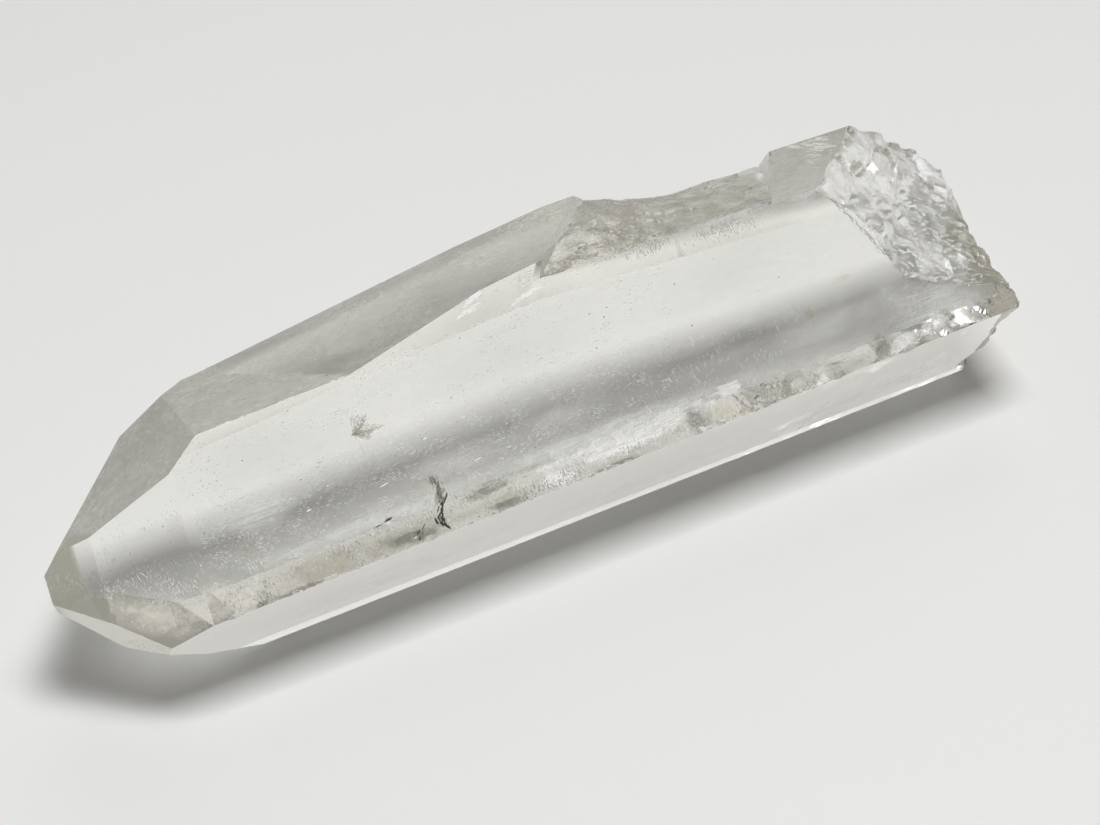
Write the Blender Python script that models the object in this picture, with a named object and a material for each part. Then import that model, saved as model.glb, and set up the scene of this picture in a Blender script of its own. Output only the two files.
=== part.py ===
"""Himalayan quartz crystal: one clear, six-sided point, broken off at its root end.

The crystal lies on a prism face. Its long axis runs along X with the tip at -X, the broad
front faces look toward -Y, and +Z is up. Every flat face is a plane cut, placed by its
azimuth around the axis, its tilt toward the tip and its reach from the crystal's heart.
Breaks are cut with rough surfaces. Lengths are millimetres until the final scale to metres.
"""
import math

import bmesh
import bpy
from mathutils import Matrix, Vector, noise

MM = 0.001
MERGE = 0.00001

# Block that the faces are cut from, and the point on the crystal's axis that reaches start at.
BLOCK_LENGTH, BLOCK_SIDE = 140.0, 60.0
HEART = Vector((0.0, 2.5, 11.0))

# Quartz angles: terminal faces lean 38.2 degrees in, and steep ones about 25.
RHOMB_TILT = 38.2
STEEP_TILT = 25.2

# Faces: azimuth (0 faces -Y, 90 faces up), tilt toward the tip, reach from the heart.
PRISM_FACES = {
    "front_upper": (30.2, 1.3, 8.78),
    "front_lower": (-29.7, 0.0, 10.07),
    "bottom": (-90.0, 0.0, 11.0),
    "back_lower": (-150.0, 0.0, 9.6),
    "back_upper": (150.0, 3.3, 10.02),
    "back_upper_root": (150.0, -2.5, 10.28),
}
TIP_FACES = {
    "rhomb_top": (90.0, 33.0, 26.42),
    "rhomb_front": (30.0, RHOMB_TILT, 29.62),
    "rhomb_front_low": (-30.0, 45.8, 34.51),
    "rhomb_bottom": (-90.0, RHOMB_TILT, 29.23),
    "rhomb_back_low": (-150.0, 54.0, 35.24),
    "rhomb_back": (150.0, 38.5, 27.30),
    "steep_front": (30.0, STEEP_TILT, 22.17),
    "steep_bottom": (-83.7, 24.9, 22.39),
    "steep_back": (150.0, 18.9, 17.57),
}
# Top of the crystal: a flat face, and a growth hump that ramps up from it to a gentler crest.
TOP_FACE = (90.2, 2.0, 11.72)
HUMP_RAMP = (77.3, 10.3, 14.67)
HUMP_CREST = (77.2, 5.5, 14.32)

# Flat top that is left between the ledge and the root.
ROOT_TOP = (93.0, 0.4, 12.41)

# Broken ledge behind the hump: where it starts and ends along the front edge, how far those
# ends slant toward the root at the back and lean outward, its height and its slope.
LEDGE_START, LEDGE_END = -1.0, 21.4
LEDGE_START_SLANT, LEDGE_END_SLANT = 1.4, 0.64
LEDGE_START_LEAN, LEDGE_END_LEAN = 10.0, 20.0
LEDGE_HEIGHT, LEDGE_FALL = 24.25, 0.02
LEDGE_SLOPE_AT_HUMP, LEDGE_SLOPE_AT_ROOT = 0.32, -0.34
LEDGE_TWIST_START, LEDGE_TWIST_END = 3.0, 16.0
LEDGE_ROUGHNESS = 0.3
ROOT_TOP_LAP = 0.3

# Break at the root: how far along X it stands at a height z, on the front and on the back.
BREAK_FRONT = ((24.0, 25.6), (16.2, 31.0), (15.2, 33.2), (12.6, 39.5), (10.6, 40.4), (8.0, 39.2))
BREAK_BACK = ((24.0, 30.9), (18.2, 39.2), (10.0, 47.4), (5.5, 49.4), (0.0, 48.0))
BREAK_WAVES = ((5.6, 1.7), (2.4, 1.3))
BREAK_GRID = 0.9
# The cross-section's widest level, and how far y its front and back edges stand there.
WIDEST_LEVEL, WIDEST_FRONT, WIDEST_BACK = 9.8, -8.8, 13.6
FACE_RUN = 0.577

# Worn edge between the top and the front face.
WORN_EDGE = (60.0, 13.72)
WORN_EDGE_SPAN = (-32.4, -19.6)

# Chips along the lower front edge: place along X, width and depth.
CHIP_ROUNDNESS = 0.9
CHIPS = ((-38.0, 2.6, 0.5), (-33.2, 1.4, 0.35), (-24.5, 1.8, 0.3), (-15.8, 2.4, 0.4),
         (-9.6, 1.3, 0.3), (0.6, 2.0, 0.35), (9.4, 1.6, 0.4), (15.5, 3.0, 0.45),
         (22.8, 1.5, 0.4), (29.6, 2.2, 0.5))

# Small flat that takes the corner off under the tip.
TIP_CORNER = (-60.0, 25.0, 23.95)


def face_normal(azimuth, tilt):
    """Outward normal of a face from its azimuth around the axis and its tilt toward the tip."""
    around, lean = math.radians(azimuth), math.radians(tilt)
    return Vector((-math.sin(lean), -math.cos(around) * math.cos(lean),
                   math.sin(around) * math.cos(lean)))


def cut_face(mesh, azimuth, tilt, reach):
    """Cut a closed mesh with one flat face and cap the opening."""
    normal = face_normal(azimuth, tilt)
    cut_plane(mesh, HEART + normal * reach, normal)


def cut_plane(mesh, point, normal):
    """Keep what lies behind a plane, and cap the cut."""
    geometry = mesh.verts[:] + mesh.edges[:] + mesh.faces[:]
    cut = bmesh.ops.bisect_plane(mesh, geom=geometry, dist=MERGE, plane_co=point,
                                 plane_no=normal, clear_outer=True)
    rim = [item for item in cut["geom_cut"] if isinstance(item, bmesh.types.BMEdge)]
    if rim:
        bmesh.ops.holes_fill(mesh, edges=rim)


def block(low, high):
    """A box between two corners, as a closed mesh."""
    mesh = bmesh.new()
    centre, size = (low + high) / 2, high - low
    place = Matrix.Translation(centre) @ Matrix.Diagonal((*size, 1.0))
    bmesh.ops.create_cube(mesh, size=1.0, matrix=place)
    return mesh


def finish_object(mesh, name, collection):
    """Turn a bmesh into a linked object."""
    bmesh.ops.recalc_face_normals(mesh, faces=mesh.faces)
    data = bpy.data.meshes.new(name)
    mesh.to_mesh(data)
    mesh.free()
    result = bpy.data.objects.new(name, data)
    collection.objects.link(result)
    return result


def crystal_body(collection):
    """The six-sided point with its hump, before anything broke."""
    half = BLOCK_LENGTH / 2
    low = Vector((-half, -BLOCK_SIDE / 2, -BLOCK_SIDE / 2))
    mesh = block(low, -low)
    for face in [*PRISM_FACES.values(), *TIP_FACES.values(), TIP_CORNER, HUMP_CREST]:
        cut_face(mesh, *face)
    return finish_object(mesh, "crystal", collection)


def make_cutter(mesh, name, collection):
    """A hidden solid that a Boolean takes away."""
    cutter = finish_object(mesh, name, collection)
    cutter.hide_render = True
    cutter.display_type = "WIRE"
    return cutter


def take_away(target, cutter):
    """Subtract a cutter with the exact solver."""
    modifier = target.modifiers.new(cutter.name, "BOOLEAN")
    modifier.operation = "DIFFERENCE"
    modifier.solver = "EXACT"
    modifier.object = cutter


def top_cutter(collection):
    """What lies above the flat top and the hump's ramp."""
    mesh = block(Vector((-70, -20, 10)), Vector((10, 25, 40)))
    for face in (TOP_FACE, HUMP_RAMP):
        normal = face_normal(face[0], face[1])
        cut_plane(mesh, HEART + normal * face[2], -normal)
    return make_cutter(mesh, "above_the_top", collection)


def root_top_cutter(collection):
    """What lies above the flat top between the ledge and the root."""
    normal = face_normal(ROOT_TOP[0], ROOT_TOP[1])
    mesh = block(Vector((5, -20, 10)), Vector((70, 25, 45)))
    cut_plane(mesh, HEART + normal * ROOT_TOP[2], -normal)
    wall = Vector((1.0, -LEDGE_END_SLANT, 0.0)).normalized()
    cut_plane(mesh, Vector((LEDGE_END - ROOT_TOP_LAP, 0.0, 0.0)), -wall)
    return make_cutter(mesh, "above_the_root_top", collection)


def smooth_step(value):
    """0 below 0, 1 above 1, and an even ramp between."""
    value = min(max(value, 0.0), 1.0)
    return value * value * (3 - 2 * value)


def rough(point, scale, seed):
    """Seeded noise between -1 and 1."""
    return noise.noise(point / scale + Vector((seed, seed * 1.7, seed * 0.3)))


def ledge_height(x, y):
    """Height of the broken ledge, whose slope to the back twists along its length."""
    twist = smooth_step((x - LEDGE_TWIST_START) / (LEDGE_TWIST_END - LEDGE_TWIST_START))
    slope = LEDGE_SLOPE_AT_HUMP + (LEDGE_SLOPE_AT_ROOT - LEDGE_SLOPE_AT_HUMP) * twist
    floor = LEDGE_HEIGHT - LEDGE_FALL * x + slope * max(y, -1.0)
    floor += LEDGE_ROUGHNESS * rough(Vector((x, y * 1.6, 0.0)), 2.6, 3.1)
    return floor + 0.5 * LEDGE_ROUGHNESS * rough(Vector((x, y, 0.0)), 1.1, 8.4)


def bent_sheet(size, step, place, lift):
    """A grid bent by a function and thickened away from the crystal into a closed mesh."""
    mesh = bmesh.new()
    counts = [round(length / step) for length in size]
    bmesh.ops.create_grid(mesh, x_segments=counts[0], y_segments=counts[1], size=0.5)
    for vert in mesh.verts:
        vert.co = place(vert.co.x * size[0], vert.co.y * size[1])
    top = bmesh.ops.extrude_face_region(mesh, geom=mesh.faces[:])
    for item in top["geom"]:
        if isinstance(item, bmesh.types.BMVert):
            item.co = lift(item.co)
    bmesh.ops.recalc_face_normals(mesh, faces=mesh.faces)
    return mesh


def ledge_end(x, slant, lean, toward):
    """Point and outward normal of the scarp at one end of the ledge; toward is -1 or 1."""
    across = Vector((1.0, -slant, 0.0)).normalized() * toward
    angle = math.radians(lean)
    return Vector((x, 0.0, LEDGE_HEIGHT)), across * math.cos(angle) - Vector((0, 0, math.sin(angle)))


def ledge_cutter(collection):
    """The ledge's broken surface and everything above it, between two scarps."""
    centre = Vector((11.5, 5.0))

    def place(u, v):
        x, y = centre.x + u, centre.y + v
        return Vector((x, y, ledge_height(x, y)))

    def lift(co):
        return Vector((co.x, co.y, 50.0))

    mesh = bent_sheet((44.0, 22.0), 0.9, place, lift)
    cut_plane(mesh, *ledge_end(LEDGE_START, LEDGE_START_SLANT, LEDGE_START_LEAN, -1))
    cut_plane(mesh, *ledge_end(LEDGE_END, LEDGE_END_SLANT, LEDGE_END_LEAN, 1))
    return make_cutter(mesh, "broken_ledge", collection)


def along(profile, z):
    """Straight-line reading of a profile of (height, x) pairs that run downward."""
    for (z_high, x_high), (z_low, x_low) in zip(profile, profile[1:]):
        if z > z_low:
            share = (z_high - z) / (z_high - z_low)
            return x_high + (x_low - x_high) * share
    return profile[-1][1]


def break_reach(y, z):
    """X of the root break at a place in the cross-section, with shell-like waves."""
    narrowing = FACE_RUN * abs(z - WIDEST_LEVEL)
    front, back = WIDEST_FRONT + narrowing, WIDEST_BACK - narrowing
    across = min(max((y - front) / max(back - front, 2.0), -0.3), 1.3)
    x = along(BREAK_FRONT, z) * (1 - across) + along(BREAK_BACK, z) * across
    for length, height in BREAK_WAVES:
        x += height * rough(Vector((0.0, y, z)), length, length)
    return x


def root_cutter(collection):
    """The break at the root and everything beyond it."""
    def place(u, v):
        y, z = 3.0 + u, 12.5 + v
        return Vector((break_reach(y, z), y, z))

    def lift(co):
        return Vector((90.0, co.y, co.z))

    return make_cutter(bent_sheet((34.0, 33.0), BREAK_GRID, place, lift), "root_break", collection)


def worn_edge_cutter(collection):
    """A narrow chipped flat along the edge between the top and the front face."""
    normal = face_normal(WORN_EDGE[0], 1.6)
    mesh = block(Vector((WORN_EDGE_SPAN[0], -8, 15)), Vector((WORN_EDGE_SPAN[1], 6, 30)))
    cut_plane(mesh, HEART + normal * WORN_EDGE[1], -normal)
    return make_cutter(mesh, "worn_edge", collection)


def edge_point(first, second, x):
    """Where two faces meet at a place along X."""
    one, two = (face_normal(face[0], face[1]) for face in (first, second))
    reach_one, reach_two = first[2] - one.x * x, second[2] - two.x * x
    spread = one.y * two.z - one.z * two.y
    y = (reach_one * two.z - reach_two * one.z) / spread
    z = (one.y * reach_two - two.y * reach_one) / spread
    return HEART + Vector((x, y, z))


def chips_cutter(collection):
    """Shell-shaped chips out of the lower front edge."""
    mesh = bmesh.new()
    outward = (face_normal(30.0, 0.0) + face_normal(-30.0, 0.0)).normalized()
    for x, width, depth in CHIPS:
        length = width * 0.6
        edge = edge_point(PRISM_FACES["front_upper"], PRISM_FACES["front_lower"], x)
        radius = length * CHIP_ROUNDNESS
        shape = Matrix.Rotation(x, 4, "X") @ Matrix.Diagonal((length, radius, radius, 1.0))
        place = Matrix.Translation(edge + outward * (radius - depth)) @ shape
        bmesh.ops.create_icosphere(mesh, subdivisions=1, radius=1.0, matrix=place)
    return make_cutter(mesh, "edge_chips", collection)


def quartz_material():
    """Clear, colourless quartz."""
    material = bpy.data.materials.new("clear_quartz")
    material.use_nodes = True
    shader = material.node_tree.nodes["Principled BSDF"]
    shader.inputs["Base Color"].default_value = (0.93, 0.93, 0.91, 1.0)
    shader.inputs["Roughness"].default_value = 0.03
    shader.inputs["Metallic"].default_value = 0.0
    shader.inputs["IOR"].default_value = 1.544
    shader.inputs["Transmission Weight"].default_value = 1.0
    return material


def settle(crystal):
    """Apply the cuts, scale to metres and put the origin under the middle of the crystal."""
    graph = bpy.context.evaluated_depsgraph_get()
    solid = bpy.data.meshes.new_from_object(crystal.evaluated_get(graph))
    crystal.modifiers.clear()
    crystal.data = solid
    mesh = bmesh.new()
    mesh.from_mesh(solid)
    bmesh.ops.scale(mesh, vec=(MM, MM, MM), verts=mesh.verts)
    bmesh.ops.remove_doubles(mesh, verts=mesh.verts, dist=MERGE)
    low = Vector(min(vert.co[axis] for vert in mesh.verts) for axis in range(3))
    high = Vector(max(vert.co[axis] for vert in mesh.verts) for axis in range(3))
    middle = (low + high) / 2
    bmesh.ops.translate(mesh, vec=(-middle.x, -middle.y, -low.z), verts=mesh.verts)
    mesh.to_mesh(solid)
    mesh.free()
    print("crystal size, mm:", [round(value / MM, 2) for value in high - low],
          "moved by", [round(value / MM, 2) for value in (-middle.x, -middle.y, -low.z)])


def build():
    """Build the crystal and its cutters."""
    for old in list(bpy.data.objects):
        bpy.data.objects.remove(old, do_unlink=True)
    parts = bpy.data.collections.new("himalayan_quartz_crystal")
    cutters = bpy.data.collections.new("cutters")
    for collection in (parts, cutters):
        bpy.context.scene.collection.children.link(collection)
    crystal = crystal_body(parts)
    crystal.data.materials.append(quartz_material())
    for make in (top_cutter, root_top_cutter, ledge_cutter, root_cutter, worn_edge_cutter,
                 chips_cutter):
        take_away(crystal, make(cutters))
    settle(crystal)


build()
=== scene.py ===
# %% [markdown]
# A Himalayan quartz point is one clear crystal: six long faces, a chisel tip, a broken ledge on
# its top and a rough broken root. The solid model already has every main plane and break at its
# real place, so it is loaded first and everything else is made around it.

import math
import random

import bmesh
import bpy
from mathutils import Matrix, Vector, noise
from mathutils.bvhtree import BVHTree


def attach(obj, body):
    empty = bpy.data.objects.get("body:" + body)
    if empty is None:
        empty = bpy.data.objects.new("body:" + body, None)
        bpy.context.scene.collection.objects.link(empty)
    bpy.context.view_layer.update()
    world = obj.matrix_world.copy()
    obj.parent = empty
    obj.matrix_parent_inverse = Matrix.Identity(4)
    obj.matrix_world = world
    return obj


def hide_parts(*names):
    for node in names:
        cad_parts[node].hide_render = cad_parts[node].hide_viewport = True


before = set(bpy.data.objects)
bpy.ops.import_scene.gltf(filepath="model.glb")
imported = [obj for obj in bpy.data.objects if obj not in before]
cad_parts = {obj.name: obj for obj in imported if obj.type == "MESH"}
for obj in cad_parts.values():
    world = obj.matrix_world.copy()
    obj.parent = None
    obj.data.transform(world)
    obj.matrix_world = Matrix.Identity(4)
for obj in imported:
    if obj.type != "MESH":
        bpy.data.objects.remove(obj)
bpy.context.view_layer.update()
MM = 0.001
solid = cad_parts["crystal"]

# %% [markdown]
# A camera is placed by what it looks at, the direction it looks from and its distance. A long
# lens keeps the crystal's parallel edges nearly parallel, as in a close view from a little above.

# %% Camera
CAMERA_TARGET = Vector((-1.79, -2.5, 10.0)) * MM
CAMERA_TURN, CAMERA_HEIGHT = -31.1, 38.9
CAMERA_DISTANCE, CAMERA_LENS, CAMERA_SENSOR, CAMERA_NEAR = 330 * MM, 132, 36, 10 * MM


def direction(turn, height):
    """Unit vector at a turn around Z (0 looks from -Y) and a height above the floor, in degrees."""
    a, e = math.radians(turn), math.radians(height)
    return Vector((math.sin(a) * math.cos(e), -math.cos(a) * math.cos(e), math.sin(e)))


def aim(item, place, target):
    """Put an object at a place and point its -Z axis at a target."""
    item.location = place
    item.rotation_euler = (target - place).to_track_quat("-Z", "Y").to_euler()


def show(name, data):
    """A new object in the scene that holds some data."""
    item = bpy.data.objects.new(name, data)
    bpy.context.scene.collection.objects.link(item)
    return item


lens = bpy.data.cameras.new("camera")
camera = show("camera", lens)
aim(camera, CAMERA_TARGET + direction(CAMERA_TURN, CAMERA_HEIGHT) * CAMERA_DISTANCE, CAMERA_TARGET)
lens.lens, lens.sensor_width, lens.clip_start = CAMERA_LENS, CAMERA_SENSOR, CAMERA_NEAR
bpy.context.scene.camera = camera
print("camera at", [round(value, 3) for value in camera.location])

# %% [markdown]
# Clear quartz has no colour of its own to show: what is seen in it is the floor and the light,
# bent and reflected. A pale floor and one broad soft light above it make the crystal readable.
# The dark bands inside it are the soft shadows under its own overhanging sides.

# %% Floor
FLOOR_SIZE = 2.4
FLOOR_COLOR, FLOOR_ROUGHNESS, FLOOR_SHINE = (0.80, 0.80, 0.79, 1.0), 0.85, 0.2
FLOOR_GAP = 0.12 * MM
bpy.ops.mesh.primitive_plane_add(size=FLOOR_SIZE, location=(0, 0, -FLOOR_GAP))
floor = bpy.context.object
floor.name = "floor"
paper = bpy.data.materials.new("pale_paper")
paper.use_nodes = True
paper_shader = paper.node_tree.nodes["Principled BSDF"]
paper_shader.inputs["Base Color"].default_value = FLOOR_COLOR
paper_shader.inputs["Roughness"].default_value = FLOOR_ROUGHNESS
paper_shader.inputs["Specular IOR Level"].default_value = FLOOR_SHINE
floor.data.materials.append(paper)
print("floor", FLOOR_SIZE, "m wide")

# %% [markdown]
# The rest of the studio is what the crystal bends and mirrors into view. It could be modelled as
# walls and cards, but a world shader is lighter and has no edges. It is dimmer in front than
# behind, nearly black overhead, and has one bright card high at the back. That card is what draws
# the thin white line along the crystal's lowest edge.

# %% Surround
SURROUND_FRONT, SURROUND_BACK, SURROUND_HIGH = 0.64, 0.78, 0.03
SURROUND_TINT = (1.0, 0.985, 0.955, 1.0)
CARD_LOOK, CARD_SPAN, CARD_STRENGTH = Vector((0.38, 0.64, 0.67)), (0.950, 0.985), 1.3
TURN_SPAN, RISE_SPAN = (-0.3, 0.5), (0.34, 0.62)


def wire(tree, source, output, target, socket):
    """Link an output of one node to an input of another."""
    tree.links.new(source.outputs[output], target.inputs[socket])


def ramp(tree, value, span, low, high):
    """A smooth ramp node between two values, as the input goes through a span."""
    node = tree.nodes.new("ShaderNodeMapRange")
    node.interpolation_type = "SMOOTHSTEP"
    node.inputs["From Min"].default_value, node.inputs["From Max"].default_value = span
    tree.links.new(value, node.inputs["Value"])
    for name, end in (("To Min", low), ("To Max", high)):
        if isinstance(end, float):
            node.inputs[name].default_value = end
        else:
            tree.links.new(end, node.inputs[name])
    return node.outputs["Result"]


sky = bpy.data.worlds.new("studio")
bpy.context.scene.world = sky
sky.use_nodes = True
sky_tree = sky.node_tree
place = sky_tree.nodes.new("ShaderNodeTexCoord")
parts = sky_tree.nodes.new("ShaderNodeSeparateXYZ")
wire(sky_tree, place, "Generated", parts, "Vector")
around = ramp(sky_tree, parts.outputs["Y"], TURN_SPAN, SURROUND_FRONT, SURROUND_BACK)
strength = ramp(sky_tree, parts.outputs["Z"], RISE_SPAN, around, SURROUND_HIGH)
toward = sky_tree.nodes.new("ShaderNodeVectorMath")
toward.operation = "DOT_PRODUCT"
toward.inputs[1].default_value = CARD_LOOK
wire(sky_tree, place, "Generated", toward, 0)
card = ramp(sky_tree, toward.outputs["Value"], CARD_SPAN, 0.0, CARD_STRENGTH)
total = sky_tree.nodes.new("ShaderNodeMath")
sky_tree.links.new(strength, total.inputs[0])
sky_tree.links.new(card, total.inputs[1])
wire(sky_tree, total, "Value", sky_tree.nodes["Background"], "Strength")
sky_tree.nodes["Background"].inputs["Color"].default_value = SURROUND_TINT
print("surround from", SURROUND_FRONT, "in front to", SURROUND_BACK, "at the back")

# %% [markdown]
# One square softbox hangs a little in front of the crystal. Its size sets how soft the shadow is.
# Light that enters quartz is turned back inside it many times, so many bounces are allowed, and
# the limit on indirect light is off, which keeps the bright streaks that a crystal throws.

# %% Softbox
SOFTBOX_PLACE, SOFTBOX_SIZE, SOFTBOX_POWER = Vector((0.0, -0.08, 0.50)), 0.20, 2.02
BOUNCES, GLOSSY_BOUNCES = 24, 12

lamp = bpy.data.lights.new("softbox", "AREA")
lamp.shape, lamp.size, lamp.size_y = "RECTANGLE", SOFTBOX_SIZE, SOFTBOX_SIZE
lamp.energy = SOFTBOX_POWER
softbox = show("softbox", lamp)
aim(softbox, SOFTBOX_PLACE, Vector((0, 0, 0)))
bpy.context.scene.view_settings.view_transform = "Standard"
light_paths = bpy.context.scene.cycles
light_paths.use_denoising, light_paths.sample_clamp_indirect = True, 0.0
light_paths.max_bounces = light_paths.transmission_bounces = BOUNCES
light_paths.transparent_max_bounces, light_paths.glossy_bounces = BOUNCES, GLOSSY_BOUNCES
print("one softbox", SOFTBOX_SIZE, "m wide, and", BOUNCES, "bounces")

# %% [markdown]
# The solid comes as many small triangles. The finished surface starts as a copy, welded, with its
# flat faces made whole again: a growth face has to be one face to mirror like one. A remesh would
# be quicker to refine but would soften every edge.

# %% Make the crystal's surface from the solid
WELD_GAP, FLAT_ANGLE = 0.001 * MM, math.radians(0.05)


def mesh_of(item):
    """A working copy of an object's mesh."""
    mesh = bmesh.new()
    mesh.from_mesh(item.data)
    return mesh


def keep(mesh, data):
    """Write a working mesh back and let it go."""
    mesh.to_mesh(data)
    mesh.free()
    return data


def welded_copy(node, name):
    """A new object with a welded copy of a node's mesh, its flat faces whole again."""
    mesh = mesh_of(node)
    bmesh.ops.remove_doubles(mesh, verts=mesh.verts, dist=WELD_GAP)
    bmesh.ops.dissolve_limit(mesh, angle_limit=FLAT_ANGLE, verts=mesh.verts, edges=mesh.edges)
    return show(name, keep(mesh, bpy.data.meshes.new(name)))


crystal = welded_copy(solid, "quartz_point")
print("faces after joining flat ones:", len(crystal.data.polygons))

# %% [markdown]
# A quartz prism has six long faces that meet at sixty degrees. Later steps ask for them by name,
# so the largest face that looks each way is found once and kept as a plane. The long front face,
# which leans back and looks up, carries most of the marks.

# %% Name the growth faces
FACE_LOOKS = {"front": (0, -0.864, 0.503), "front_low": (0, -0.869, -0.495), "bottom": (0, 0, -1),
              "back_low": (0, 0.866, -0.5), "back": (0, 0.865, 0.5), "top": (0, 0, 1)}
FLAT_AREA, ROUGHLY_ALONG, ALONG = 3.0 * MM * MM, 0.98, 0.99

# Every large flat face is kept as (its normal, a point on it, its area).
planes = [(face.normal.copy(), face.center.copy(), face.area) for face in crystal.data.polygons
          if face.area > FLAT_AREA]
prism = {name: max((plane for plane in planes if plane[0].dot(Vector(look)) > ROUGHLY_ALONG),
                   key=lambda plane: plane[2]) for name, look in FACE_LOOKS.items()}
print(len(planes), "flat faces;", {name: round(plane[2] / MM / MM) for name, plane in prism.items()})


def face_looking(*look):
    """The first flat face that looks very nearly along a direction."""
    return next(plane for plane in planes if plane[0].dot(Vector(look)) > ALONG)


def meet(first, second, x):
    """The point at a place along X where two planes meet."""
    (n, p, _), (m, q, _) = first, second
    a, b = n.dot(p) - n.x * x, m.dot(q) - m.x * x
    spread = n.y * m.z - n.z * m.y
    return Vector((x, (a * m.z - b * n.z) / spread, (n.y * b - m.y * a) / spread))


# %% [markdown]
# The lower front edge has been knocked often and has lost small shell-shaped chips, as glass
# does. A bump map could suggest them, but an edge seen through clear quartz shows a chip's real
# shape, so each chip is cut out with a small uneven ball.

# %% Chip the edges
CHIP_WIDTHS, CHIP_SKEW = (0.25, 0.75), 2.5
CHIP_DEPTH, CHIP_RADIUS, CHIP_LENGTH = (0.10, 0.20), (0.35, 0.6), 0.62
CHIP_SHIFT, CHIP_TILT, CHIP_ROOM = 0.35, 0.35, 0.48
CHIP_BUMPS, CHIP_BUMP_SCALE = 0.12, 2.3


def chip_cutter(edges, seed):
    """Many small shell-shaped bodies along edges; each edge is (plane, plane, x span, count,
    largest width)."""
    draw = random.Random(seed)
    mesh = bmesh.new()
    for first, second, (start, end), count, widest in edges:
        outward = (first[0] + second[0]).normalized()
        step = (end - start) / count
        for number in range(count):
            width = widest * (CHIP_WIDTHS[0] + CHIP_WIDTHS[1] * draw.random() ** CHIP_SKEW)
            x = start + step * (number + 0.5 + CHIP_SHIFT * (draw.random() - 0.5))
            depth = width * draw.uniform(*CHIP_DEPTH)
            radius = width * draw.uniform(*CHIP_RADIUS)
            centre = meet(first, second, x) + outward * (radius - depth)
            turn = Matrix.Rotation(draw.uniform(0, 6.28), 4, "X") @ Matrix.Rotation(
                draw.uniform(-CHIP_TILT, CHIP_TILT), 4, "Z")
            length = min(width * CHIP_LENGTH, step * CHIP_ROOM)
            shape = Matrix.Diagonal((length, radius, radius, 1.0))
            for vert in bmesh.ops.create_icosphere(mesh, subdivisions=2, radius=1.0)["verts"]:
                bump = noise.noise(vert.co * CHIP_BUMP_SCALE + Vector((number, seed, 0)))
                vert.co = Matrix.Translation(centre) @ turn @ shape @ (
                    vert.co * (1 + CHIP_BUMPS * bump))
    return show("chips", keep(mesh, bpy.data.meshes.new("chips")))


def cut_away(item, cutter):
    """Take a cutter out of an object with the exact solver, and apply it."""
    modifier = item.modifiers.new("cut", "BOOLEAN")
    modifier.operation, modifier.solver, modifier.object = "DIFFERENCE", "EXACT", cutter
    graph = bpy.context.evaluated_depsgraph_get()
    data = bpy.data.meshes.new_from_object(item.evaluated_get(graph))
    item.modifiers.clear()
    item.data = data
    bpy.data.objects.remove(cutter)


CHIPPED_EDGES = [
    (prism["front"], prism["front_low"], (-36 * MM, 20 * MM), 50, 1.5 * MM),
    (prism["front"], prism["front_low"], (20 * MM, 34 * MM), 5, 0.4 * MM),
    (prism["bottom"], prism["front_low"], (-34 * MM, 12 * MM), 11, 0.5 * MM),
]
cut_away(crystal, chip_cutter(CHIPPED_EDGES, 5))
print("faces with chips:", len(crystal.data.polygons))

# %% [markdown]
# The root and the ledge are broken, not grown. Their faces are told from the growth faces by
# their planes, labelled, and split until the triangles are fine enough to carry relief. Every
# list here keeps the mesh's own order, so that the result is the same each time.

# %% Break the surfaces down into fine facets
FLAT, BREAK, LEDGE, CHIP = 0, 1, 2, 3
FACET_SIZE = {BREAK: 0.42 * MM, LEDGE: 0.36 * MM}
SAME_LOOK, SAME_PLANE = 0.99996, 0.004 * MM
BREAK_START, BREAK_TOP, ROOT_END, BREAK_FOOT = 21 * MM, 23.9 * MM, 36.5 * MM, 12.5 * MM
LEDGE_START, LEDGE_END, LEDGE_FOOT = -12 * MM, 24 * MM, 20.5 * MM
SPLIT_ROUNDS = 5


def zone_of(face):
    """Which kind of surface a face belongs to."""
    normal, centre = face.normal, face.calc_center_median()
    for n, p, _ in planes:
        if normal.dot(n) > SAME_LOOK and abs(n.dot(centre - p)) < SAME_PLANE:
            return FLAT
    if centre.x > BREAK_START and centre.z < BREAK_TOP and (
            centre.x > ROOT_END or centre.z > BREAK_FOOT):
        return BREAK
    if centre.z > LEDGE_FOOT and LEDGE_START < centre.x < LEDGE_END:
        return LEDGE
    return CHIP


def split_broken_faces(item):
    """Label every face with its zone and split the broken ones until their edges are short."""
    mesh = mesh_of(item)
    zone = mesh.faces.layers.int.new("zone")
    for face in mesh.faces:
        face[zone] = zone_of(face)
    for label, longest in FACET_SIZE.items():
        for _ in range(SPLIT_ROUNDS):
            bmesh.ops.triangulate(mesh, faces=[face for face in mesh.faces if face[zone] == label])
            long_edges = [edge for edge in mesh.edges if edge.calc_length() > longest
                          and any(face[zone] == label for face in edge.link_faces)]
            if not long_edges:
                break
            bmesh.ops.subdivide_edges(mesh, edges=long_edges, cuts=1)
        bmesh.ops.triangulate(mesh, faces=[face for face in mesh.faces if face[zone] == label])
    keep(mesh, item.data)


split_broken_faces(crystal)
print("faces after splitting:", len(crystal.data.polygons))

# %% [markdown]
# Quartz breaks in shells and small tilted steps. The cells of a Voronoi pattern give each facet
# its own lean, and noise gives the swells between them. The vertices are moved, because the
# outline of the break shows the relief and a bump map would not change it. A vertex on the rim of
# a growth face only slides within that face, which stays flat. The noise module's own seed is set
# first, because its vector noise would otherwise be different at each run.

# %% Shell-like breakage
NOISE_SEED = 2
noise.seed_set(NOISE_SEED)
RIM_SHARE = 0.35
BREAK_OUT, LEDGE_OUT = Vector((0.705, -0.403, 0.583)), Vector((0.0, -0.1, 0.995))
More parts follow.
